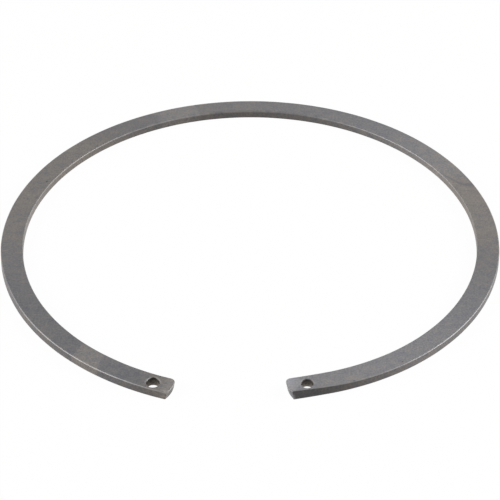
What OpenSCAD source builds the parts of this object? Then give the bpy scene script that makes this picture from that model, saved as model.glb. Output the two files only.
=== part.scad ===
// Retaining ring for the inside of a bore, in millimetres.
// One flat strip of spring steel, coiled on edge into an open ring of even section,
// with a hole for round-nose pliers near each end. The mouth faces -Y and the ring
// lies on its lower face. The origin is the centre of the ring on that face, +Z is up.

/* [Strip] */
// Outer diameter of the free ring
ring_d = 132; // [110:0.5:160]
// Width of the strip, measured radially
strip_w = 5.9; // [5:0.1:8]
// Thickness of the strip
strip_t = 2; // [1.2:0.1:3]
// Radius on the four long edges of the strip
edge_r = 0.25; // [0.1:0.05:0.25]

/* [Spring set] */
// Angle from +X at which the right arm starts to curl in
right_from = 5; // [-20:1:25]
// How much tighter than the ring the right arm is bent
right_set = 2.7; // [0.5:0.1:5]
// Angle from +X at which the tip of the right arm starts to straighten
right_tip_from = -70; // [-72:0.5:-60]
// How much wider than its arm that tip is bent
right_tip_set = 119.5; // [20:0.5:200]
// Angle from +X at which the left arm starts to open out
left_from = 233.5; // [200:0.5:240]
// How much wider than the ring the left arm is bent
left_set = 3.7; // [0.5:0.1:6]

/* [Ends] */
// Width of the mouth between the crowns of the two ends
mouth_w = 28.1; // [20:0.1:40]
// Radius of the domed cut across each end
dome_r = 8.5; // [6:0.5:20]
// How far the left cut leans back from the mouth, in degrees
left_skew = 2; // [-5:0.5:15]
// How far the right cut leans back from the mouth, in degrees
right_skew = 3; // [-5:0.5:15]
// Radius on the inner corner of each end
inner_corner_r = 1.3; // [0.6:0.1:2]
// Radius on the outer corner of the left end
outer_corner_r = 0.5; // [0.5:0.1:1]
// Length of the slant knocked on the upper outer corner of the left end
knock_l = 2.8; // [1.5:0.1:4]
// Width of that slant on the upper face, at the crown
knock_w = 0.9; // [0.6:0.1:1.2]
// Slope of that slant below the upper face, in degrees
knock_slope = 35; // [25:5:50]

/* [Pliers holes] */
// Diameter of the left hole
left_hole_d = 3.4; // [2:0.1:3.6]
// Diameter of the right hole
right_hole_d = 3; // [2:0.1:3.6]
// Distance of the left hole from the crown of its end, along the strip
left_hole_in = 4.9; // [3.5:0.1:8]
// Distance of the right hole from the crown of its end, along the strip
right_hole_in = 4.7; // [3.5:0.1:8]
// How far the left hole lies outside the middle of the strip
left_hole_out = 0.35; // [-0.5:0.05:0.5]
// How far the right hole lies outside the middle of the strip
right_hole_out = 0.15; // [-0.5:0.05:0.5]
// Width of the broken edge round each hole
hole_rim = 0.1; // [0.05:0.05:0.3]

/* [Hidden] */
$fn = 128;
// How far a cut runs past the surface that it opens
cut = 0.5;
// How far a corner round runs past the walls that it joins
over = 0.03;
// Degrees of strip beyond the left and the right crown that the end cuts remove
left_run_on = 2;
right_run_on = 0.5;

half_w = strip_w / 2;
mid_r = ring_d / 2 - half_w;

// Each arm bends about its own centre, so that it leaves the ring without a kink
right_r = mid_r - right_set;
left_r = mid_r + left_set;
right_c = right_set * [cos(right_from), sin(right_from)];
right_tip_r = right_r + right_tip_set;
right_tip_c = right_c - right_tip_set * [cos(right_tip_from), sin(right_tip_from)];
left_c = -left_set * [cos(left_from), sin(left_from)];

// Bearing of each crown about the centre of its own bend
right_end = -acos((mouth_w / 2 - right_tip_c.x) / right_tip_r);
left_end = 360 - acos((-mouth_w / 2 - left_c.x) / left_r);

// Angle that a length of arc takes at a radius
function turn(length, radius) = length / radius * 180 / PI;

// Part of a length that a hundredth of a millimetre can hold
function hundredths(v) = [for (x = v) round(x * 100) / 100];

// The rounds of one upper and one lower edge, with their centres at x
module edge_rounds(x) {
    for (y = [edge_r, strip_t - edge_r])
        translate([x, y])
            circle(r = edge_r, $fn = 16);
}

// Cross-section of the strip, from its inner to its outer wall
module section(inner, outer) {
    translate([inner + edge_r, 0])
        square([outer - inner - 2 * edge_r, strip_t]);
    translate([inner, edge_r])
        square([outer - inner, strip_t - 2 * edge_r]);
    edge_rounds(inner + edge_r);
    edge_rounds(outer - edge_r);
}

// A stretch of strip bent about a centre, between two bearings. The centre is reached
// in a coarse and a fine move, so that stretches that meet do so to a millionth.
module bend(centre, radius, first, last) {
    translate(hundredths(centre))
        translate(centre - hundredths(centre))
            rotate_extrude(start = first, angle = last - first)
                section(radius - half_w, radius + half_w);
}

// The whole strip, with both ends run on to a whole or half bearing past their crowns
module strip() {
    bend(right_tip_c, right_tip_r, floor(2 * right_end) / 2 - right_run_on, right_tip_from);
    bend(right_c, right_r, right_tip_from, right_from);
    bend([0, 0], mid_r, right_from, left_from);
    bend(left_c, left_r, left_from, ceil(left_end) + left_run_on);
}

// Puts its children in the frame of an arm, a distance back from its crown:
// +X along the strip into the mouth and +Y away from the centre of the bend
module at_left(back) {
    translate(left_c)
        rotate([0, 0, left_end - turn(back, left_r)])
            translate([left_r, 0])
                mirror([1, -1, 0])
                    children();
}

module at_right(back) {
    translate(right_tip_c)
        rotate([0, 0, right_end + turn(back, right_tip_r)])
            translate([right_tip_r, 0])
                rotate([0, 0, -90])
                    children();
}

// A round plate as thick as the strip and with the same rounded edge, seam towards -X
module disc(radius) {
    rotate([0, 0, 180])
        rotate_extrude()
            intersection() {
                union() {
                    square([radius - edge_r, strip_t]);
                    translate([0, edge_r])
                        square([radius, strip_t - 2 * edge_r]);
                    edge_rounds(radius - edge_r);
                }
                square([radius, strip_t]);
            }
}

// What the shear takes off beyond the crown: a block, less the dome that stays
module end_cut(skew) {
    difference() {
        translate([-dome_r, -strip_w, -cut])
            cube([2 * dome_r, 2 * strip_w, strip_t + 2 * cut]);
        rotate([0, 0, skew])
            translate([-dome_r, 0])
                disc(dome_r);
    }
}

// Where two circles cross, on the side of larger x
function crossing(c1, r1, c2, r2) =
    let (d = c2 - c1,
         l = norm(d),
         along = (r1 * r1 - r2 * r2 + l * l) / (2 * l),
         off = sqrt(r1 * r1 - along * along),
         side = [d.y, -d.x] / l)
    c1 + along * d / l + off * (side.x > 0 ? side : -side);

// Centre of a corner round between the dome and one wall of an arm: its circle runs
// past both by `over`, so that it meets them at a slight angle
function corner_centre(skew, arm_r, wall, r) =
    crossing(dome_r * [-cos(skew), -sin(skew)], dome_r - r + over,
             [0, -arm_r], arm_r + wall * (half_w - r + over));

// What a corner round takes off an end: wall is -1 at the inner wall and 1 at the outer
module corner_cut(skew, arm_r, wall, r) {
    translate(corner_centre(skew, arm_r, wall, r))
        difference() {
            translate([0, wall > 0 ? 0 : -2 * r, -cut])
                cube([2 * r, 2 * r, strip_t + 2 * cut]);
            disc(r);
        }
}

// Bore for a pliers tip, with both rims broken
module pliers_hole(d) {
    translate([0, 0, -cut])
        cylinder(d = d, h = strip_t + 2 * cut);
    for (z = [0, strip_t])
        translate([0, 0, z])
            mirror([0, 0, z > 0 ? 0 : 1])
                translate([0, 0, -hole_rim])
                    cylinder(r1 = d / 2, r2 = d / 2 + 2 * hole_rim, h = 2 * hole_rim);
}

// What a knock has taken off the upper outer corner of an end: a slant that starts
// on the outer edge and widens towards the crown
module knock_cut() {
    translate([-knock_l, half_w, strip_t])
        rotate([0, 0, -atan(knock_w / knock_l)])
            rotate([-knock_slope, 0, 0])
                translate([-cut, -cut, 0])
                    cube([2 * knock_l, strip_w, strip_w]);
}

module retaining_ring() {
    color([0.42, 0.42, 0.43])
        difference() {
            strip();
            at_left(0) {
                end_cut(left_skew);
                corner_cut(left_skew, left_r, -1, inner_corner_r);
                corner_cut(left_skew, left_r, 1, outer_corner_r);
                knock_cut();
            }
            at_right(0) {
                end_cut(right_skew);
                corner_cut(right_skew, right_tip_r, -1, inner_corner_r);
            }
            at_left(left_hole_in)
                translate([0, left_hole_out])
                    pliers_hole(left_hole_d);
            at_right(right_hole_in)
                translate([0, right_hole_out])
                    pliers_hole(right_hole_d);
        }
}

retaining_ring();
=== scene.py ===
"""An internal retaining ring of blackened spring steel, lying on a pale table."""

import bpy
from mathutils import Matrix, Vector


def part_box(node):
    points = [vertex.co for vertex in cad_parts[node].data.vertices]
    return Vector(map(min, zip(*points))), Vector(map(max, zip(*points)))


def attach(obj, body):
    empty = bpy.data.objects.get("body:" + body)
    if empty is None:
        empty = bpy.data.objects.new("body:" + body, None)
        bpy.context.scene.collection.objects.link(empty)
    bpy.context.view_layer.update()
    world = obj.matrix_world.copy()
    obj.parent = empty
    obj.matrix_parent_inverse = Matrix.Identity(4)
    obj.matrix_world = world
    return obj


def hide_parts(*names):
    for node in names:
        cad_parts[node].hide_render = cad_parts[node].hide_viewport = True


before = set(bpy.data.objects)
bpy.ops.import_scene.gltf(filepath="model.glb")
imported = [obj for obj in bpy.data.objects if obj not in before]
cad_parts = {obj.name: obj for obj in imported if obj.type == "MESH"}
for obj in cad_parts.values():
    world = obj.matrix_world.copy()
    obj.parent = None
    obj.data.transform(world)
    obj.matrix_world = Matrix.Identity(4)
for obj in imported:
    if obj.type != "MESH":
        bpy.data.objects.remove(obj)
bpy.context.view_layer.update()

import math

import bmesh
import bpy
import numpy as np
from bpy.props import FloatProperty, FloatVectorProperty, IntProperty, PointerProperty
from mathutils import Matrix, Vector

bl_info = {
    "name": "Retaining Ring",
    "version": (1, 0, 0),
    "blender": (4, 5, 0),
    "location": "View3D > Sidebar > Ring",
    "description": "Builds an internal retaining ring with its worn steel finish, and the table it lies on",
    "category": "Object",
}

NODE = "retaining_ring"
TRAITS = ("edge", "wall", "bore", "end")
LOW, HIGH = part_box(NODE)
MM = 0.001
WELD = 0.002 * MM


def length(name, description, default):
    """A length property in metres."""
    return FloatProperty(name=name, description=description, default=default, subtype="DISTANCE",
                         unit="LENGTH", precision=5)


def angle(name, description, degrees):
    """An angle property, given in degrees and kept in radians."""
    return FloatProperty(name=name, description=description, default=math.radians(degrees), subtype="ANGLE",
                         unit="ROTATION")


def colour(name, description, default):
    """A linear colour property."""
    return FloatVectorProperty(name=name, description=description, default=default, subtype="COLOR", size=3,
                               min=0.0, max=1.0)


def number(name, description, default, **options):
    """A plain number property."""
    return FloatProperty(name=name, description=description, default=default, **options)


class StripSizes(bpy.types.PropertyGroup):
    """The strip and the way it is coiled."""

    outer_diameter: length("Outer diameter", "Outer diameter of the free ring", 2 * HIGH[1])
    width: length("Width", "Radial width of the strip", 5.9 * MM)
    thickness: length("Thickness", "Thickness of the strip", HIGH[2] - LOW[2])
    low_radius: length("Lower edge radius", "Radius on the lower long edges", 0.25 * MM)
    top_radius: length("Upper edge radius", "Radius on the upper long edges", 0.33 * MM)
    back_radius: length("Back edge radius", "Radius on the upper inner edge at the back", 0.55 * MM)
    back_lean: length("Back lean", "How far the inner wall at the back leans out at the top", 0.6 * MM)
    back_at: number("Back at", "Share of the strip's length at which that lean is greatest", 0.52)
    back_reach: number("Back reach", "Share of the strip's length over which it fades", 0.07)
    left_lean: length("Left lean", "How far the outer wall of the left arm leans in at the top", 0.3 * MM)
    left_lean_from: number("Left lean from", "Share of the strip's length at which that lean starts", 0.79)
    left_lean_over: number("Left lean over", "Share of the strip's length over which it grows", 0.05)
    right_lean: length("Right lean", "How far the outer wall of the right arm leans in at the top", 0.4 * MM)
    right_lean_length: length("Right lean length", "Distance over which that lean fades", 60 * MM)
    tip_lean: length("Tip lean", "How much further it leans in by the right crown", 0.62 * MM)
    tip_lean_length: length("Tip lean length", "Distance over which that fades", 10 * MM)
    sharp_radius: length("Sharp edge radius",
                         "Radius on the right crown's upper and the left crown's lower edges", 0.12 * MM)
    sharp_length: length("Sharp length", "Distance over which that sharpness fades", 30 * MM)
    edge_wander: number("Edge wander", "Share by which the edge radius wanders along the strip", 0.12)
    right_from: angle("Right arm from", "Bearing at which the right arm starts to curl in", 5)
    right_set: length("Right set", "How much tighter the right arm is bent", 2.7 * MM)
    right_tip_from: angle("Right tip from", "Bearing at which the right arm's tip starts to straighten", -70)
    right_tip_set: length("Right tip set", "How much wider than its arm that tip is bent", 119.5 * MM)
    left_from: angle("Left arm from", "Bearing at which the left arm starts to open out", 233.5)
    left_set: length("Left set", "How much wider the left arm is bent", 3.7 * MM)
    station: length("Station", "Distance between cross-sections along the strip", 0.5 * MM)
    columns: IntProperty(name="Columns", description="Faces across the flat of the strip", default=10, min=2)


class EndSizes(bpy.types.PropertyGroup):
    """The two sheared ends."""

    mouth: length("Mouth", "Width of the mouth between the crowns", 28.1 * MM)
    pad: length("Pad", "Length of each end that is meshed round its hole", 8 * MM)
    spacing: length("Spacing", "Distance between points along the rim of an end", 0.12 * MM)
    dome: length("Dome radius", "Radius of the domed cut across each end", 8.5 * MM)
    left_skew: angle("Left skew", "How far the left cut leans back from the mouth", 2)
    right_skew: angle("Right skew", "How far the right cut leans back from the mouth", 3)
    lean: length("Lean", "How far the shear set the upper edge of a cut ahead of its middle", 0.18 * MM)
    inner_corner: length("Inner corner", "Radius on the inner corner of each end", 1.3 * MM)
    left_corner: length("Left outer corner", "Radius on the outer corner of the left end", 0.5 * MM)
    right_corner: length("Right outer corner", "Radius on the outer corner of the right end", 0.16 * MM)
    knock_length: length("Knock length", "Length of the slant knocked on the left outer corner", 2.8 * MM)
    knock_width: length("Knock width", "Width of that slant on the upper face", 0.8 * MM)
    knock_depth: length("Knock depth", "Depth of that slant on the outer wall", 0.55 * MM)


class HoleSizes(bpy.types.PropertyGroup):
    """The two holes for the pliers."""

    left_diameter: length("Left diameter", "Diameter of the left hole", 3.4 * MM)
    right_diameter: length("Right diameter", "Diameter of the right hole", 3.0 * MM)
    left_back: length("Left distance", "Distance of the left hole from its crown", 4.9 * MM)
    right_back: length("Right distance", "Distance of the right hole from its crown", 4.8 * MM)
    left_out: length("Left offset", "How far the left hole lies outside the middle of the strip", 0.35 * MM)
    right_out: length("Right offset", "How far the right hole lies outside the middle", 0.15 * MM)
    rim: length("Rim", "Width of the rounded rims that the punch left", 0.05 * MM)
    dish: length("Dish", "Depth by which the upper face sinks towards a hole", 0.04 * MM)
    # The lighter metal behind a hole and the extra edge of its rim are a painted highlight
    halo: length("Halo", "Distance over which that sinking and the worn metal behind a hole fade", 0.36 * MM)
    rim_edge: number("Rim edge", "How much of an edge the upper rim is, where 1 is a long edge", 2.0)
    halo_sheen: number("Halo edge", "How much of an edge the upper face is next to that rim", 1.5)
    spared: number("Spared", "Share of that which is missing in the middle of a gouge", 0.6)
    left_taper: length("Left taper", "How much smaller the left hole's radius is below", 0.26 * MM)
    right_taper: length("Right taper", "How much smaller the right hole's radius is below", 0.14 * MM)
    left_gouge: length("Left gouge", "Reach of the gouge in the back of the left hole", 0.42 * MM)
    right_gouge: length("Right gouge", "Reach of the gouge in the back of the right hole", 0.38 * MM)
    left_spread: angle("Left spread", "Half the angle that the left gouge takes of the rim", 26)
    right_spread: angle("Right spread", "Half the angle that the right gouge takes of the rim", 55)
    rings: IntProperty(name="Rings", description="Rows of faces from a hole to its end's rim", default=12)
    grading: number("Grading", "Power by which those rows crowd towards the hole", 1.6)


class SteelLook(bpy.types.PropertyGroup):
    """The dull phosphated and oiled finish, and the painted light and shade on its walls, edges, holes, ends
    and pits.
    """

    cool: colour("Cool grey", "Blue-grey of the coating", (0.186, 0.187, 0.204))
    warm: colour("Warm grey", "Brown-grey of the coating", (0.212, 0.193, 0.176))
    wall: colour("Wall tint", "What the walls take from the colour of the faces", (0.80, 0.76, 0.71))
    wall_share: number("Wall share", "How much of that tint the walls have", 0.9, min=0.0, max=1.0)
    stain: colour("Stain", "Dark colour of the stain line", (0.10, 0.10, 0.115))
    worn_and_lit: colour("Worn steel", "Bare steel on the worn edges", (0.36, 0.35, 0.345))
    roughness: number("Roughness", "Roughness of the coated faces", 0.46, min=0.0, max=1.0)
    metal: number("Metal", "How metallic the coating looks", 0.2, min=0.0, max=1.0)
    grain: length("Grain", "Size of the finest grain", 0.5 * MM)
    mottle: length("Mottle", "Size of the mottling", 2 * MM)
    cloud: length("Cloud", "Size of the broad clouds of colour", 9 * MM)
    streak: length("Streak", "Width of the drawn streaks on the walls", 0.16 * MM)
    relief: length("Relief", "Depth of the grain and the mottling", 0.02 * MM)
    patch_light: number("Patch light", "How much lighter the warm patch on the left arm is", 0.29)
    heated_light: number("Heated light", "How much lighter the heated stretch at the back is", 0.18)
    stain_depth: number("Stain depth", "How much of the stain's colour shows", 0.52, min=0.0, max=1.0)
    pit_shade: number("Pit depth", "How much of the light the pits lose", 0.75, min=0.0, max=1.0)
    # Painted light and shade on the walls of the holes: light thrown up from the table below, and shade under
    # the upper face above
    bore_lit_below: number("Bore below", "Tone of a hole's wall at the lower face", 2.4)
    bore_shaded_above: number("Bore above", "Tone of a hole's wall at the upper face", 0.5)
    # Painted highlight on the rims of the holes, beyond that of the long edges
    rim_sheen: number("Rim wear", "Wear that the rims of the holes have beyond that of the long edges", 0.5)
    # Rubbed metal on the ends, painted highlights at the right outer corner and on the knock, and painted
    # shade on the left end face
    right_rub: number("Right rub", "How much lighter the right end is rubbed at its inner corner", 0.68)
    left_rub: number("Left rub", "How much lighter the left end is rubbed at its crown", 0.4)
    corner_highlight: number("Corner rub", "How much lighter the upper face is at the right outer corner", 0.3)
    corner_shine: number("Corner shine", "How much lighter the outer wall is by that corner", 2.2)
    knock_shine: number("Knock shine", "How much lighter the knock on the left corner is", 0.4)
    end_shade: number("End shade", "How much darker the left end face is", 0.28)


class StageLook(bpy.types.PropertyGroup):
    """Table, lights and camera."""

    table: colour("Table", "Colour that the table throws back as light", (0.50, 0.50, 0.50))
    seen: colour("Seen table", "Colour of the table as the camera sees it", (0.97, 0.97, 0.97))
    whiteness: number("Whiteness", "Share of plain white in the table as seen", 0.975, min=0.0, max=1.0)
    table_reach: length("Table reach", "Distance of the table's edges from the middle of the ring", 2.0)
    table_gap: length("Table gap", "How far the table lies below the ring", 0.02 * MM)
    sky: number("Sky", "Strength of the soft light from all round", 0.2)
    box_distance: length("Softbox distance", "Distance of the softboxes from the ring", 0.8)
    box_size: length("Softbox size", "Edge of each softbox", 0.42)
    box_elevation: angle("Softbox elevation", "Height of the two softboxes above the table", 20.5)
    left_bearing: angle("Left bearing", "Bearing of the left softbox", 190)
    right_bearing: angle("Right bearing", "Bearing of the right softbox", 9)
    left_level: number("Left level", "Light of the left softbox, where 1 shows a colour as written", 1.05)
    right_level: number("Right level", "Light of the right softbox", 1.25)
    elevation: angle("Elevation", "How far the camera looks down", 37.209)
    azimuth: angle("Azimuth", "How far the camera is turned round the ring", 4.7)
    roll: angle("Roll", "How far the camera is tipped on its own axis", 0.190)
    distance: length("Distance", "Distance of the camera from the middle of the ring", 570.3 * MM)
    drop: length("Drop", "How far the camera aims below the middle of the ring", 3.39 * MM)
    lens: number("Lens", "Focal length in millimetres", 154.63)


GROUPS = {
    "ring_strip": StripSizes,
    "ring_ends": EndSizes,
    "ring_holes": HoleSizes,
    "ring_steel": SteelLook,
    "ring_stage": StageLook,
}


def direction(bearing):
    """Unit vector at a bearing from +X: its cosine and its sine."""
    return np.stack([np.cos(bearing), np.sin(bearing)], -1)


def bearing_of(vector):
    """Bearing of a plan vector."""
    return np.arctan2(vector[..., 1], vector[..., 0])


def crossing(first, first_radius, second, second_radius, towards):
    """Where two circles cross, on the side that a direction points to."""
    line = second - first
    gap = np.hypot(*line)
    along = (first_radius**2 - second_radius**2 + gap**2) / (2 * gap)
    off = math.sqrt(first_radius**2 - along**2)
    side = np.array([line[1], -line[0]]) / gap
    side = side if side @ towards > 0 else -side
    return first + along * line / gap + off * side


def arc(centre, radius, start, stop, turn, spacing):
    """Points of a circle from one direction to another, turn 1 anticlockwise and -1 clockwise, and their
    directions from the centre. The last point is left to the next stretch."""
    begin = bearing_of(start)
    sweep = (turn * (bearing_of(stop) - begin)) % (2 * math.pi)
    count = max(4, round(sweep * radius / spacing))
    way = direction(begin + turn * sweep * np.arange(count) / count)
    return centre + radius * way, way


class Coil:
    """The strip's middle line: right tip, right arm, round and left arm, each an arc about its own centre,
    that meet without a kink."""

    def __init__(self, strip, ends):
        self.half = strip.width / 2
        middle = strip.outer_diameter / 2 - self.half
        right, left = middle - strip.right_set, middle + strip.left_set
        self.radius = np.array([right + strip.right_tip_set, right, middle, left])
        right_centre = strip.right_set * direction(strip.right_from)
        self.centre = np.array([
            right_centre - strip.right_tip_set * direction(strip.right_tip_from),
            right_centre,
            np.zeros(2),
            -strip.left_set * direction(strip.left_from),
        ])
        reach = ends.mouth / 2
        self.right_end = -math.acos((reach - self.centre[0, 0]) / self.radius[0])
        self.left_end = 2 * math.pi - math.acos((-reach - self.centre[-1, 0]) / self.radius[-1])
        self.change = np.array([strip.right_tip_from, strip.right_from, strip.left_from])
        lengths = self.radius * np.diff([self.right_end, *self.change, self.left_end])
        self.start = np.concatenate([[0], np.cumsum(lengths)])
        self.first = np.array([self.right_end, *self.change])

    def at(self, along):
        """Centre, radius and bearing of the bend at distances along the middle line from the right crown."""
        bend = np.searchsorted(self.start[1:-1], along)
        bearing = self.first[bend] + (along - self.start[bend]) / self.radius[bend]
        return self.centre[bend], self.radius[bend], bearing

    def strip_coordinates(self, plan):
        """Distance along the middle line and distance outward from it, for points in plan."""
        turn = (bearing_of(plan) + math.pi / 2) % (2 * math.pi) - math.pi / 2
        bend = np.searchsorted(self.change, turn)
        arm = plan - self.centre[bend]
        bearing = (bearing_of(arm) + math.pi / 2) % (2 * math.pi) - math.pi / 2
        along = self.start[bend] + (bearing - self.first[bend]) * self.radius[bend]
        return along, np.hypot(arm[:, 0], arm[:, 1]) - self.radius[bend]

    def end(self, side, ends):
        """The rim of an end in plan, anticlockwise from joint to joint, with its outward directions.
        Walls, corners and dome are arcs that touch, each a stretch of circle between two directions."""
        left = side == "left"
        bend = -1 if left else 0
        centre, radius = self.centre[bend], self.radius[bend]
        crown = self.left_end if left else self.right_end
        skew = ends.left_skew if left else ends.right_skew
        round_out = ends.left_corner if left else ends.right_corner
        outward = direction(crown)
        forward = np.array([-outward[1], outward[0]]) * (1 if left else -1)
        dome = centre + radius * outward - ends.dome * (math.cos(skew) * forward + math.sin(skew) * outward)
        outer, inner = radius + self.half, radius - self.half
        out_corner = crossing(dome, ends.dome - round_out, centre, outer - round_out, forward)
        in_corner = crossing(dome, ends.dome - ends.inner_corner, centre, inner + ends.inner_corner, forward)
        joint = direction(crown + (-ends.pad if left else ends.pad) / radius)
        to_out, to_in = out_corner - centre, in_corner - centre
        over_out, over_in = out_corner - dome, in_corner - dome
        step = ends.spacing
        if left:
            stretches = [
                (1, arc(centre, outer, joint, to_out, 1, step)),
                (1, arc(out_corner, round_out, to_out, over_out, 1, step / 2)),
                (1, arc(dome, ends.dome, over_out, over_in, 1, step)),
                (1, arc(in_corner, ends.inner_corner, over_in, -to_in, 1, step)),
                (-1, arc(centre, inner, to_in, joint, -1, step)),
            ]
            last, facing = centre + inner * joint, -joint
        else:
            stretches = [
                (-1, arc(centre, inner, joint, to_in, -1, step)),
                (1, arc(in_corner, ends.inner_corner, -to_in, over_in, 1, step)),
                (1, arc(dome, ends.dome, over_in, over_out, 1, step)),
                (1, arc(out_corner, round_out, over_out, to_out, 1, step / 4)),
                (1, arc(centre, outer, to_out, joint, 1, step)),
            ]
            last, facing = centre + outer * joint, joint
        rim = np.concatenate([points for _, (points, _) in stretches] + [last[None]])
        normals = np.concatenate([sign * way for sign, (_, way) in stretches] + [facing[None]])
        return rim, normals

    def hole(self, side, holes):
        """Centre and radius of a pliers hole."""
        left = side == "left"
        bend = -1 if left else 0
        back, out = (holes.left_back, holes.left_out) if left else (holes.right_back, holes.right_out)
        bearing = (self.left_end if left else self.right_end) + (-back if left else back) / self.radius[bend]
        place = self.centre[bend] + (self.radius[bend] + out) * direction(bearing)
        return place, (holes.left_diameter if left else holes.right_diameter) / 2


def quads(rows, columns, close_rows):
    """Corner numbers of the faces of a grid of points, row by row, whose last row may join the first."""
    row = np.arange(rows if close_rows else rows - 1)[:, None]
    column = np.arange(columns - 1)[None, :]
    next_row = (row + 1) % rows
    corners = [row * columns + column, next_row * columns + column,
               next_row * columns + column + 1, row * columns + column + 1]
    return np.stack(corners, -1).reshape(-1, 4)


class Patches:
    """Grids of points that are gathered into one mesh and welded where they meet."""

    def __init__(self):
        self.points, self.faces, self.traits, self.count = [], [], [], 0

    def add(self, grid, edge=0.0, wall=0.0, bore=0.0, end=0.0, flip=False, close_rows=False):
        """Adds a rows by columns by 3 grid, with how much each point is an edge, a wall, a hole's wall and
        an end face."""
        rows, columns = grid.shape[:2]
        faces = quads(rows, columns, close_rows) + self.count
        self.faces.append(faces[:, ::-1] if flip else faces)
        self.points.append(grid.reshape(-1, 3))
        trait = np.stack(np.broadcast_arrays(edge, wall, bore, end, np.zeros((rows, columns)))[:-1], -1)
        self.traits.append(trait.reshape(-1, trait.shape[-1]))
        self.count += rows * columns


def edge_profile(steps, wall_steps, flat=0.25):
    """The profile over an edge: shares of the inset and of the depth of a quarter round, sine and cosine,
    after a narrow flat that keeps the face's shading flat, and then shares of the way down the wall. The
    width of the flat is a share of the radius."""
    turn = np.linspace(0, math.pi / 2, steps)
    inset = np.concatenate([[1 + flat], 1 - np.sin(turn)])
    depth = np.concatenate([[0.0], 1 - np.cos(turn)])
    straight = np.concatenate([[0.0], turn / (math.pi / 2)])
    down = np.linspace(0, 1, wall_steps + 2)[1:-1]
    return inset, depth, straight, down


def carried(upper, lower, down):
    """A profile for every point of a rim, over its upper edge, down the wall and under its lower edge. Each
    edge is a pair of insets and heights, listed from the face to the wall."""
    top, low = upper[1][:, -1:], lower[1][:, -1:]
    straight = np.zeros((len(top), len(down)))
    insets = np.concatenate([upper[0], straight, lower[0][:, ::-1]], 1)
    heights = np.concatenate([upper[1], top + (low - top) * down, lower[1][:, ::-1]], 1)
    return insets, heights


def smooth_step(value):
    """0 below 0, 1 above 1 and a smooth step between."""
    value = np.clip(value, 0, 1)
    return value**2 * (3 - 2 * value)


def smooth_normals(normals, window):
    """The mean of each direction and its neighbours round a closed rim, at unit length."""
    total = sum(np.roll(normals, shift, axis=0) for shift in range(-window, window + 1))
    return total / np.hypot(total[:, 0], total[:, 1])[:, None]


def ring_rim(coil, strip, ends):
    """The outline of the ring in plan, one closed line of touching arcs, with its outward directions and
    the numbers of its points along the outer wall, along the inner wall and round each end."""
    left_rim, left_normals = coil.end("left", ends)
    right_rim, right_normals = coil.end("right", ends)
    stations = round((coil.start[-1] - 2 * ends.pad) / strip.station)
    along = np.linspace(ends.pad, coil.start[-1] - ends.pad, stations + 1)
    centre, radius, bearing = coil.at(along)
    way = direction(bearing)
    outer = centre + (radius + coil.half)[:, None] * way
    inner = centre + (radius - coil.half)[:, None] * way
    rim = np.concatenate([outer[:-1], left_rim, inner[-2:0:-1], right_rim[:-1]])
    normals = np.concatenate([way[:-1], left_normals, -way[-2:0:-1], right_normals[:-1]])
    left_at = stations + np.arange(len(left_rim))
    inner_at = left_at[-1] + stations - np.arange(stations + 1)
    right_at = (left_at[-1] + stations + np.arange(len(right_rim))) % len(rim)
    return rim, normals, np.arange(stations + 1), inner_at, left_at, right_at


def lean_and_edges(coil, strip, travel, across):
    """How far the walls lean in at the top, and the radii of the lower and the upper edge, for points of
    the rim. Each lean grows or fades along the strip, in a straight line or a bell curve. The radii run
    straight from sharp at a crown to their usual size, and wander as the mean of three sines of the way
    round, one way on the outer wall and the other way on the inner."""
    lap = travel / coil.start[-1]
    from_crown = coil.start[-1] - travel
    sines = sum(np.sin(2 * math.pi * waves * lap + shift) for waves, shift in ((7, 0), (17, 1), (41, 2)))
    wander = 1 + strip.edge_wander * sines / 3 * np.sign(across)
    near_left, near_right = (np.clip(1 - away / strip.sharp_length, 0, 1) for away in (from_crown, travel))
    low_radius = (strip.low_radius + (strip.sharp_radius - strip.low_radius) * near_left) * wander
    top_radius = (strip.top_radius + (strip.sharp_radius - strip.top_radius) * near_right) * wander
    on_left = np.clip((lap - strip.left_lean_from) / strip.left_lean_over, 0, 1)
    on_right = np.clip(1 - travel / strip.right_lean_length, 0, 1)
    at_tip = np.exp(-(travel / strip.tip_lean_length) ** 2)
    at_back = np.exp(-((lap - strip.back_at) / strip.back_reach) ** 2) * np.clip(-across / coil.half, 0, 1)
    top_radius = top_radius + (strip.back_radius - strip.top_radius) * at_back
    lean_in = strip.left_lean * on_left + strip.right_lean * on_right + strip.tip_lean * at_tip
    return lean_in * on_outside(coil, across) - strip.back_lean * at_back, low_radius, top_radius


def on_outside(coil, across):
    """0 up to two fifths of the way from the middle of the strip to its outer wall, and 1 close to that
    wall."""
    return np.clip((across / coil.half - 0.4) / 0.5, 0, 1)


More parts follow.
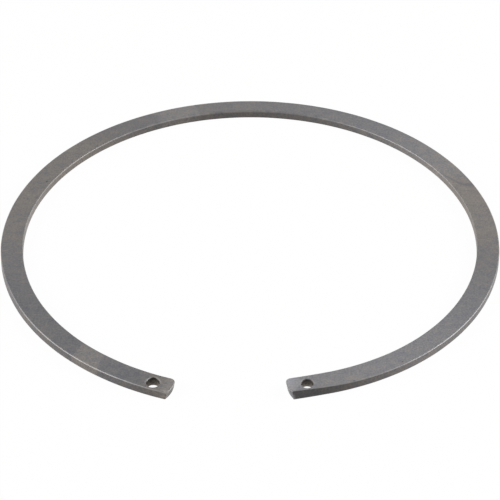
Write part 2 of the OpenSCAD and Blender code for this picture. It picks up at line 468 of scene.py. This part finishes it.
def ring_patches(strip, ends, holes):
    """The whole ring as grids. The edge profile is carried round the rim, each face of the strip is spread
    between the inner and the outer rim, and each end is spread between its rim and its hole, as (1 - w)
    times the hole's point plus w times the rim's point at the same bearing. A wall's points move inward by
    its lean times their share of the height, and an end face's move ahead by its lean times twice that
    share less one. The knock on the left corner swaps the round of the edge for a straight slant that
    widens towards the crown."""
    coil = Coil(strip, ends)
    rim, normals, outer_at, inner_at, left_at, right_at = ring_rim(coil, strip, ends)
    travel, across = coil.strip_coordinates(rim)
    from_crown = coil.start[-1] - travel
    lean_in, low_radius, top_radius = lean_and_edges(coil, strip, travel, across)

    profile_inset, profile_depth, straight, down = edge_profile(steps=8, wall_steps=5)
    knock = np.clip(1 - from_crown / ends.knock_length, 0, 1) * on_outside(coil, across)
    reach = np.maximum(top_radius, ends.knock_width * knock)[:, None]
    depth = np.maximum(top_radius, ends.knock_depth * knock)[:, None]
    flat = np.clip(2 * knock, 0, 1)[:, None]
    inset_share = (1 - flat) * profile_inset + flat * np.where(profile_depth > 0, 1 - straight, profile_inset)
    depth_share = (1 - flat) * profile_depth + flat * straight
    low_reach = low_radius[:, None]
    insets, heights = carried((inset_share * reach, strip.thickness - depth_share * depth),
                              (profile_inset * low_reach, profile_depth * low_reach), down)
    outward = direction(coil.at(travel)[2])
    facing = 1 - np.sum(normals * outward, 1) ** 2
    ahead = (ends.lean * facing)[:, None] * (2 * heights / strip.thickness - 1)
    plan = rim[:, None, :] + (ahead - insets)[..., None] * smooth_normals(normals, window=9)[:, None, :]
    plan = plan - (lean_in[:, None] * heights / strip.thickness)[..., None] * outward[:, None, :]

    over = np.sin(np.pi * straight)
    on_wall = np.concatenate([straight, 1 + 0 * down, straight[::-1]])
    # The outer corners of the ends count as edges, so that they carry the painted highlight of the edges
    corner = (4 * facing * (1 - facing)) ** 3 * (across > 0)
    corner = corner * np.clip(1 - np.minimum(travel, from_crown) / ends.pad, 0, 1)
    on_edge = np.maximum(np.concatenate([over, 0 * down, over[::-1]]), corner[:, None])
    patches = Patches()
    patches.add(np.concatenate([plan, heights[..., None]], -1), on_edge, on_wall, end=facing[:, None],
                flip=True, close_rows=True)

    share = np.linspace(0, 1, strip.columns + 1)[None, :, None]
    for level, height, flip in ((0, strip.thickness, False), (-1, 0.0, True)):
        shoulder = plan[:, level]
        sheet = (1 - share) * shoulder[inner_at][:, None] + share * shoulder[outer_at][:, None]
        patches.add(np.concatenate([sheet, np.full(sheet.shape[:2] + (1,), height)], -1), flip=flip)
    joint = np.linspace(0, 1, strip.columns + 1)[1:-1, None]
    for side, at in (("left", left_at), ("right", right_at)):
        loops = []
        for level in (0, -1):
            shoulder = plan[at, level]
            loops.append(np.concatenate([shoulder, (1 - joint) * shoulder[-1] + joint * shoulder[0]]))
        add_pad(patches, strip, holes, *coil.hole(side, holes), loops, side == "left")
    return coil, patches


def add_pad(patches, strip, holes, place, radius, loops, left):
    """The two faces of an end and the wall of its hole. From about a third of the height up the radius
    grows by the gouge times a bell curve of the bearing from +Y, and from three fifths down it shrinks by
    the taper, each by a smooth step. Near the hole the upper face sinks by the dish times a bell curve of
    the distance from the rim. The rows of faces lie closer together near the hole. The rim and the face by
    it carry a painted highlight on the side towards +Y, least in the middle of the gouge. The trait of a
    hole's wall is greater to the left and right, where its painted shade reaches further down."""
    gouge, spread = (holes.left_gouge, holes.left_spread) if left else (holes.right_gouge, holes.right_spread)
    taper = holes.left_taper if left else holes.right_taper
    profile_inset, profile_depth, straight, down = edge_profile(steps=8, wall_steps=8)
    bearing = bearing_of(loops[0] - place)
    way = direction(bearing)
    from_back = (bearing - math.pi / 2 + math.pi) % (2 * math.pi) - math.pi
    bulge = np.exp(-(from_back / spread) ** 2)[:, None]
    # The side of the rim towards +Y, which carries a painted highlight
    behind = np.clip(way[:, 1:] + 0.5, 0, 1) * (1 - holes.spared * bulge)
    rim = np.full((len(way), 1), holes.rim)
    insets, heights = carried((profile_inset * rim, strip.thickness - holes.dish - profile_depth * rim),
                              (profile_inset * rim, profile_depth * rim), down)
    level = heights / strip.thickness
    high, low = smooth_step((level - 0.35) / 0.5), smooth_step((0.6 - level) / 0.6)
    reach = radius + gouge * bulge * high - taper * low
    plan = place + (reach + insets)[..., None] * way[:, None, :]
    over = np.sin(np.pi * straight)
    # The upper rim's edge trait carries the painted highlight
    on_edge = holes.rim_edge * np.concatenate([over, 0 * down, 0 * over]) * behind
    on_wall = np.concatenate([straight, 1 + 0 * down, straight[::-1]])
    # The painted shade on a hole's wall reaches further down to the left and right
    on_bore = on_wall * (1 + 0.4 * way[:, :1] ** 2)
    patches.add(np.concatenate([plan, heights[..., None]], -1), on_edge, on_wall, on_bore, close_rows=True)
    share = (np.linspace(0, 1, holes.rings + 1) ** holes.grading)[None, :, None]
    # The face by the upper rim carries the rim's painted highlight, which fades with the dish
    for loop, side, height, dish, worn_and_lit, flip in (
            (loops[0], 0, strip.thickness, holes.dish, holes.halo_sheen, False),
            (loops[1], -1, 0.0, 0.0, 0.0, True)):
        rim_points = plan[:, side]
        sheet = (1 - share) * rim_points[:, None] + share * loop[:, None]
        away = np.hypot(*(sheet - rim_points[:, None]).transpose(2, 0, 1))
        bell = np.exp(-((away / holes.halo) ** 2)) * (1 - share[..., 0] ** 8)
        surface = np.concatenate([sheet, (height - dish * bell)[..., None]], -1)
        patches.add(surface, bell * behind * worn_and_lit, flip=flip, close_rows=True)


def welded_mesh(name, patches, coil):
    """One closed mesh from the patches, with the traits and the place on the strip kept at each point."""
    mesh = bpy.data.meshes.new(name)
    mesh.from_pydata(np.concatenate(patches.points), [], np.concatenate(patches.faces))
    traits = np.concatenate(patches.traits)
    for column, trait in enumerate(TRAITS):
        layer = mesh.attributes.new(trait, "FLOAT", "POINT")
        layer.data.foreach_set("value", traits[:, column].astype(np.float32))
    work = bmesh.new()
    work.from_mesh(mesh)
    bmesh.ops.remove_doubles(work, verts=work.verts, dist=WELD)
    bmesh.ops.dissolve_degenerate(work, edges=work.edges, dist=WELD / 4)
    bmesh.ops.recalc_face_normals(work, faces=work.faces)
    loose = sum(1 for side in work.edges if len(side.link_faces) != 2)
    if loose:
        raise RuntimeError(f"{name} is not closed: {loose} edges lack two faces")
    work.to_mesh(mesh)
    work.free()
    points = np.empty(3 * len(mesh.vertices))
    mesh.vertices.foreach_get("co", points)
    points = points.reshape(-1, 3)
    along, across = coil.strip_coordinates(points[:, :2])
    layer = mesh.attributes.new("strip", "FLOAT_VECTOR", "POINT")
    layer.data.foreach_set("vector", np.stack([along, across, points[:, 2]], -1).astype(np.float32).ravel())
    mesh.polygons.foreach_set("use_smooth", np.ones(len(mesh.polygons), bool))
    mesh.update()
    return mesh


class Number:
    """A number that varies over a surface. Sums on it add Math nodes."""

    def __init__(self, nodes, socket):
        self.nodes, self.socket = nodes, socket

    def math(self, operation, *values):
        return self.nodes.number("ShaderNodeMath", {"operation": operation}, dict(enumerate(values)))

    def __add__(self, other):
        return self.math("ADD", self, other)

    def __sub__(self, other):
        return self.math("SUBTRACT", self, other)

    def __rsub__(self, other):
        return self.math("SUBTRACT", other, self)

    def __mul__(self, other):
        return self.math("MULTIPLY", self, other)

    def __truediv__(self, other):
        return self.math("DIVIDE", self, other)

    __radd__ = __add__
    __rmul__ = __mul__

    def power(self, exponent):
        return self.math("POWER", self, exponent)

    def remainder(self, period):
        return self.math("FLOORED_MODULO", self, period)

    def rise(self, low, high):
        """0 up to low, 1 from high on and a smooth step between."""
        return self.nodes.number("ShaderNodeMapRange", {"interpolation_type": "SMOOTHSTEP"},
                                 {"Value": self, "From Min": low, "From Max": high})

    def bump(self, centre, reach):
        """1 at centre and 0 beyond a distance from it."""
        off = self - centre
        return 1 - off.math("ABSOLUTE", off).rise(0, reach)


class Nodes:
    """The node tree of one material or world."""

    def __init__(self, owner):
        owner.use_nodes = True
        self.tree = owner.node_tree
        self.tree.nodes.clear()

    def add(self, kind, settings=None, inputs=None):
        """A node of a kind, with its settings, its ramp's stops and what feeds its sockets."""
        node = self.tree.nodes.new(kind)
        for name, value in (settings or {}).items():
            if name == "stops":
                self.set_stops(node.color_ramp, value)
            else:
                setattr(node, name, value)
        for name, value in (inputs or {}).items():
            self.feed(node.inputs[name], value)
        return node

    def set_stops(self, ramp, stops):
        """Gives a ramp its stops, each a place and a grey."""
        while len(ramp.elements) < len(stops):
            ramp.elements.new(0.5)
        for element, (place, value) in zip(ramp.elements, stops):
            element.position = place
            element.color = (value, value, value, 1)

    def feed(self, socket, value):
        """Links a socket, or sets its own value."""
        value = value.socket if isinstance(value, Number) else value
        if isinstance(value, bpy.types.NodeSocket):
            self.tree.links.new(value, socket)
        elif socket.type == "RGBA" and len(value) == 3:
            socket.default_value = (*value, 1)
        else:
            socket.default_value = value

    def number(self, kind, settings=None, inputs=None, output=0):
        """What comes out of a new node, as a number."""
        return Number(self, self.add(kind, settings, inputs).outputs[output])

    def trait(self, name):
        """A number kept at each point of the mesh."""
        return self.number("ShaderNodeAttribute", {"attribute_name": name}, output="Fac")

    def split(self, vector):
        """The three parts of a vector."""
        parts = self.add("ShaderNodeSeparateXYZ", None, {0: vector}).outputs
        return [Number(self, part) for part in parts]

    def round_ring(self, bearing, stops):
        """A ramp once round the ring, through pairs of a bearing in degrees and a value up to 2."""
        halves = [(place_on_ring(at), value / 2) for at, value in stops]
        return self.number("ShaderNodeValToRGB", {"stops": halves}, {"Fac": place_on_ring(bearing)}) * 2

    def noise(self, vector, size, detail=2.0, roughness=0.5, distortion=0.0):
        """Noise about zero, whose features are about as large as size."""
        inputs = {"Vector": vector, "Scale": 1 / size, "Detail": detail, "Roughness": roughness,
                  "Distortion": distortion}
        return self.number("ShaderNodeTexNoise", None, inputs) - 0.5

    def blend(self, factor, first, second, mode="MIX"):
        """Two colours mixed by a factor."""
        settings = {"data_type": "RGBA", "blend_type": mode, "clamp_factor": True}
        mix = self.add("ShaderNodeMix", settings)
        for socket, value in ((mix.inputs[0], factor), (mix.inputs[6], first), (mix.inputs[7], second)):
            self.feed(socket, value)
        return mix.outputs[2]

    def scaled(self, vector, factor):
        """A colour or a vector times a number."""
        node = self.add("ShaderNodeVectorMath", {"operation": "SCALE"}, {0: vector, "Scale": factor})
        return node.outputs[0]


# The factors in these four lists were worked out from mean tones of the photo, stretch by stretch
# Bearings in degrees, each with the tone of the faces there
FACE_TONES = (
    (-80, 1.0), (-48, 1.07), (-25, 0.92), (-5, 0.78), (8, 0.9), (27, 0.89), (34, 1.07), (45, 1.0),
    (58, 0.87), (100, 0.8), (112, 0.79), (123, 0.73), (134, 0.71), (143, 0.78), (180, 0.78), (192, 0.74),
    (205, 0.69), (228, 0.71), (243, 0.74), (250, 0.7), (254, 0.75), (262, 0.8))
# Bearings with the share of the warm grey
WARM_SHARES = (
    (-80, 0.15), (-48, 0.24), (-28, 0.14), (-3, 0.45), (4, 0.85), (22, 0.87), (34, 0.67), (51, 0.3),
    (60, 0.16), (75, 0.32), (112, 0.5), (124, 0.42), (131, 0.5), (140, 0.85), (168, 0.8), (182, 0.64),
    (192, 0.44), (205, 0.3), (232, 0.28), (243, 0.16), (250, 0.3), (255, 0.75), (262, 0.75))
# Bearings with the painted light and shade of the walls against the tone of the faces: darker where the walls
# face -Y, away from both softboxes, and lighter where they face them
WALL_LIGHT_AND_SHADE = (
    (-80, 0.4), (-70, 0.5), (-60, 0.75), (-45, 1.0), (-20, 0.8), (5, 1.0), (25, 1.2), (45, 1.27),
    (70, 1.0), (90, 0.8), (106, 0.8), (118, 0.96), (135, 1.2), (155, 1.15), (176, 1.35), (195, 1.0),
    (245, 1.14), (262, 1.1))
# Bearings with how much the long edges are rubbed bare, together with the painted highlight along them
EDGE_WEAR_AND_SHEEN = (
    (-80, 0.45), (-50, 0.5), (-38, 0.4), (-22, 0.25), (0, 0.35), (20, 0.65), (35, 0.5), (50, 0.375),
    (70, 0.55), (80, 0.175), (104, 0.15), (110, 0.35), (130, 0.4), (155, 0.225), (175, 0.65), (188, 0.3),
    (200, 0.3), (212, 0.425), (228, 0.35), (236, 0.5), (244, 0.95), (252, 0.6), (256, 0.4), (262, 0.4))
# X, Y and radius of the pits in the upper face, in millimetres
PITS = ((30.05, -56.45, 0.65), (41.61, -48.12, 0.4), (-57.78, 21.2, 0.45))


def place_on_ring(bearing):
    """Where a bearing in degrees lies on a ramp that goes once round the ring from -90."""
    return (bearing + 90) / 360


def ends_rubbed_and_lit(look, along, across, wall, end_face, end):
    """How much lighter the ends are than the strip, as rubbed metal, painted highlight and painted shade.
    Both upper faces are rubbed lighter towards their crowns, the right one most at its inner corner; the
    upper face at the right outer corner carries a painted highlight; the left end face is darker with
    painted shade; and the knock and the wall by the right outer corner shine with painted highlights."""
    at_right = (1 - along.rise(0.3 * MM, 5.5 * MM)) * (1 - across.rise(-1.5 * MM, 2.5 * MM) * 0.95)
    at_corner = (1 - along.rise(1.3 * MM, 2.0 * MM)) * across.rise(0.0, 2.5 * MM)
    at_left = along.rise(end - 3.8 * MM, end - 0.5 * MM)
    knocked = along.rise(end - 2.8 * MM, end - 1.2 * MM) * across.rise(1.4 * MM, 2.3 * MM)
    corner_line = (1 - along.rise(0.95 * MM, 1.4 * MM)) * across.rise(2.2 * MM, 2.7 * MM)
    on_faces = at_right * look.right_rub + at_left * look.left_rub + at_corner * look.corner_highlight
    on_walls = corner_line * wall * (1 - end_face) * look.corner_shine - at_left * end_face * look.end_shade
    return on_faces * (1 - wall) + on_walls * wall + knocked * look.knock_shine


def stain_line(turn, across):
    """1 on the curved stain on the right, whose bearing swings with the cube of the distance from the outer
    wall."""
    bearing, swing, half_width = 26, 6.5, 1.25
    inward = (2.85 * MM - across) / (5.2 * MM)
    return (turn - bearing - inward.power(3) * swing).bump(0, half_width)


def warm_patch(turn, across):
    """1 on the warm patch on the left arm, whose two borders slant across the strip, by degrees for each
    metre."""
    first_slant, more_slant = 240, 110
    first = turn - across * first_slant
    return first.rise(231.5, 232.1) * (1 - (first - across * more_slant).rise(238.4, 239.0))


def spring_steel(look, end):
    """Phosphated and oiled spring steel: blue-grey and brown-grey clouds and patches, a fine grain, browner
    walls with painted light and shade round the ring, bare steel on the rubbed edges that doubles as their
    painted highlight, painted shade high and painted light low in the holes, painted highlights and shade
    at the ends, the few stains that this ring has, and its pits as painted shade. The left crown lies at
    the distance end along the strip."""
    material = bpy.data.materials.new("blackened spring steel")
    nodes = Nodes(material)
    point = nodes.add("ShaderNodeTexCoord").outputs["Object"]
    x, y, z = nodes.split(point)
    on_strip = nodes.add("ShaderNodeAttribute", {"attribute_name": "strip"}).outputs["Vector"]
    along, across, _ = nodes.split(on_strip)
    edge, wall, bore, end_face = (nodes.trait(name) for name in TRAITS)

    turn = (y.math("ARCTAN2", y, x) * math.degrees(1) + 450).remainder(360) - 90
    grain = nodes.noise(point, look.grain, detail=3.0, roughness=0.6)
    mottle = nodes.noise(point, look.mottle, detail=3.0, roughness=0.55)
    cloud = nodes.noise(point, look.cloud, distortion=0.3)
    drawn = nodes.add("ShaderNodeMapping", None, {"Vector": on_strip, "Scale": (0.06, 1, 1)}).outputs[0]
    streak = nodes.noise(drawn, look.streak, roughness=0.6)
    wavy = turn + mottle * 1.2

    patch = warm_patch(turn + mottle * 0.5, across)
    heated = wavy.rise(108.0, 108.8) * (1 - wavy.rise(118.0, 120.5))
    warmth = nodes.round_ring(wavy, WARM_SHARES) + patch * 0.4 + bore * 0.6 + cloud * 0.8 + mottle * 1.8
    marks = 1 + patch * look.patch_light + heated * look.heated_light
    tone = nodes.round_ring(wavy, FACE_TONES) * marks * (1 + cloud * 0.2 + mottle * 0.5 + grain)
    side = wall * (1 - end_face)
    # Painted shade high on the wall of a hole and painted light low on it
    height_up = (z / (HIGH[2] - LOW[2]) * bore).rise(0.2, 0.75)
    bore_light_and_shade = look.bore_lit_below - height_up * (look.bore_lit_below - look.bore_shaded_above)
    # Painted light and shade on the walls, by bearing round the ring
    wall_light_and_shade = nodes.round_ring(wavy, WALL_LIGHT_AND_SHADE)
    tone = tone * (1 + side * (wall_light_and_shade - 1) * (1 - bore) + bore * (bore_light_and_shade - 1))
    # Rubbed metal, painted highlights and painted shade on the ends
    tone = tone * (1 + ends_rubbed_and_lit(look, along, across, wall, end_face, end))
    # Painted shade in the pits: the tone darkens towards each pit's middle, and the mesh has no hollow there
    for pit_x, pit_y, size in PITS:
        off_x, off_y = x - pit_x * MM, y - pit_y * MM
        gap = (off_x * off_x + off_y * off_y).power(0.5)
        tone = tone * (1 - (1 - gap.rise(0, size * MM)) * (1 - wall) * look.pit_shade)

    face = nodes.scaled(nodes.blend(warmth, look.cool, look.warm), tone)
    sides = nodes.blend(side * look.wall_share, face, nodes.blend(1.0, face, look.wall, "MULTIPLY"))
    stained = nodes.blend(stain_line(turn, across) * (1 - wall) * look.stain_depth, sides, look.stain)
    # Bare steel on the edges: partly real rubbing, partly a painted highlight along the rounded edges, the
    # rims of the holes and the outer corners of the ends
    wear_and_sheen = (edge * (0.8 + mottle * 0.8)).rise(0.1, 1.0) * nodes.round_ring(wavy, EDGE_WEAR_AND_SHEEN)
    wear_and_sheen = wear_and_sheen + edge.rise(1.0, 2.0) * look.rim_sheen
    height = grain * 0.5 + mottle * 0.7 + streak * wall * 1.2
    relief = nodes.add("ShaderNodeBump", None, {"Strength": 0.35, "Distance": look.relief, "Height": height})
    shader = nodes.add("ShaderNodeBsdfPrincipled", None, {
        "Base Color": nodes.blend(wear_and_sheen, stained, look.worn_and_lit), "Metallic": look.metal + wear_and_sheen * 0.2,
        "Roughness": look.roughness + mottle * 0.12 + grain * 0.1, "Normal": relief.outputs[0],
        "Specular IOR Level": 0.4})
    output = nodes.add("ShaderNodeOutputMaterial")
    nodes.tree.links.new(shader.outputs[0], output.inputs[0])
    return material


def background_rays(nodes):
    """1 for the rays by which the camera, a gloss or glass sees the background."""
    path = nodes.add("ShaderNodeLightPath")
    camera, glossy, through = (Number(nodes, path.outputs[name])
                               for name in ("Is Camera Ray", "Is Glossy Ray", "Is Transmission Ray"))
    return camera.math("MAXIMUM", camera, glossy.math("MAXIMUM", glossy, through))


def table_top(look):
    """A pale table: seen as near white with the shadow kept, and throwing back its own paler grey as
    light."""
    material = bpy.data.materials.new("pale table")
    nodes = Nodes(material)
    seen = nodes.add("ShaderNodeBsdfDiffuse", None, {"Color": look.seen})
    white = nodes.add("ShaderNodeEmission", None, {"Color": (1, 1, 1), "Strength": 1.0})
    thrown = nodes.add("ShaderNodeBsdfDiffuse", None, {"Color": look.table})
    shown = nodes.add("ShaderNodeMixShader", None, {
        0: look.whiteness, 1: seen.outputs[0], 2: white.outputs[0]})
    top = nodes.add("ShaderNodeMixShader", None, {
        0: background_rays(nodes), 1: thrown.outputs[0], 2: shown.outputs[0]})
    output = nodes.add("ShaderNodeOutputMaterial")
    nodes.tree.links.new(top.outputs[0], output.inputs[0])
    return material


def soft_sky(look):
    """A world that shows white and lights only a little."""
    world = bpy.data.worlds.new("soft sky")
    nodes = Nodes(world)
    shown = background_rays(nodes)
    strength = shown + (1 - shown) * look.sky
    sky = nodes.add("ShaderNodeBackground", None, {"Color": (1, 1, 1), "Strength": strength})
    output = nodes.add("ShaderNodeOutputWorld")
    nodes.tree.links.new(sky.outputs[0], output.inputs[0])
    return world


def softbox(name, look, bearing, level):
    """A square light that faces the ring. Its power is pi squared times the square of its distance times
    its level, so that level 1 shows a matt colour as it is written."""
    data = bpy.data.lights.new(name, "AREA")
    data.size = look.box_size
    data.energy = math.pi**2 * look.box_distance**2 * level
    light = bpy.data.objects.new(name, data)
    flat = math.cos(look.box_elevation)
    away = Vector((flat * math.cos(bearing), flat * math.sin(bearing), math.sin(look.box_elevation)))
    light.location = away * look.box_distance
    light.rotation_euler = away.to_track_quat("Z", "Y").to_euler()
    bpy.context.scene.collection.objects.link(light)


def view_camera(look, top):
    """A camera whose axis passes a little below the middle of the ring's upper face."""
    right = Vector((math.cos(look.azimuth), math.sin(look.azimuth), 0))
    level = Vector((-math.sin(look.azimuth), math.cos(look.azimuth), 0))
    ahead = level * math.cos(look.elevation) - Vector((0, 0, math.sin(look.elevation)))
    up = right.cross(ahead)
    aim = Vector((0, 0, top)) - up * look.drop
    across = right * math.cos(look.roll) - up * math.sin(look.roll)
    upright = up * math.cos(look.roll) + right * math.sin(look.roll)
    data = bpy.data.cameras.new("view")
    data.sensor_width = 36
    data.lens = look.lens
    camera = bpy.data.objects.new("view", data)
    place = Matrix((across, upright, -ahead)).transposed().to_4x4()
    place.translation = aim - ahead * look.distance
    camera.matrix_world = place
    bpy.context.scene.collection.objects.link(camera)
    bpy.context.scene.camera = camera


class RING_OT_build(bpy.types.Operator):
    """Builds the retaining ring as one closed mesh and gives it its steel"""

    bl_idname = "ring.build"
    bl_label = "Build Ring"

    def execute(self, context):
        scene = context.scene
        coil, patches = ring_patches(scene.ring_strip, scene.ring_ends, scene.ring_holes)
        ring = bpy.data.objects.new("ring_strip", welded_mesh("ring_strip", patches, coil))
        scene.collection.objects.link(ring)
        ring.data.materials.append(spring_steel(scene.ring_steel, coil.start[-1]))
        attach(ring, "root")
        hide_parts(NODE)
        return {"FINISHED"}


class RING_OT_stage(bpy.types.Operator):
    """Lays the table under the ring and sets the lights and the camera"""

    bl_idname = "ring.stage"
    bl_label = "Set Stage"

    def execute(self, context):
        scene = context.scene
        look = scene.ring_stage
        scene.view_settings.view_transform = "Standard"
        scene.world = soft_sky(look)
        reach, below = look.table_reach, LOW[2] - look.table_gap
        corners = [(x * reach, y * reach, below) for x, y in ((-1, -1), (1, -1), (1, 1), (-1, 1))]
        mesh = bpy.data.meshes.new("table")
        mesh.from_pydata(corners, [], [(0, 1, 2, 3)])
        mesh.materials.append(table_top(look))
        table = bpy.data.objects.new("table", mesh)
        scene.collection.objects.link(table)
        softbox("left softbox", look, look.left_bearing, look.left_level)
        softbox("right softbox", look, look.right_bearing, look.right_level)
        view_camera(look, HIGH[2])
        return {"FINISHED"}


class RING_PT_panel(bpy.types.Panel):
    """Lists the ring's build steps"""

    bl_idname = "RING_PT_panel"
    bl_label = "Retaining Ring"
    bl_space_type = "VIEW_3D"
    bl_region_type = "UI"
    bl_category = "Ring"

    def draw(self, context):
        self.layout.operator(RING_OT_stage.bl_idname)
        self.layout.operator(RING_OT_build.bl_idname)
        for name, group in GROUPS.items():
            box = self.layout.box()
            for prop in group.__annotations__:
                box.prop(getattr(context.scene, name), prop)


CLASSES = (*GROUPS.values(), RING_OT_build, RING_OT_stage, RING_PT_panel)


def register():
    for cls in CLASSES:
        bpy.utils.register_class(cls)
    for name, group in GROUPS.items():
        setattr(bpy.types.Scene, name, PointerProperty(type=group))


def unregister():
    for name in GROUPS:
        delattr(bpy.types.Scene, name)
    for cls in reversed(CLASSES):
        bpy.utils.unregister_class(cls)


def main():
    register()
    bpy.ops.ring.stage()
    bpy.ops.ring.build()


if __name__ == "__main__":
    main()
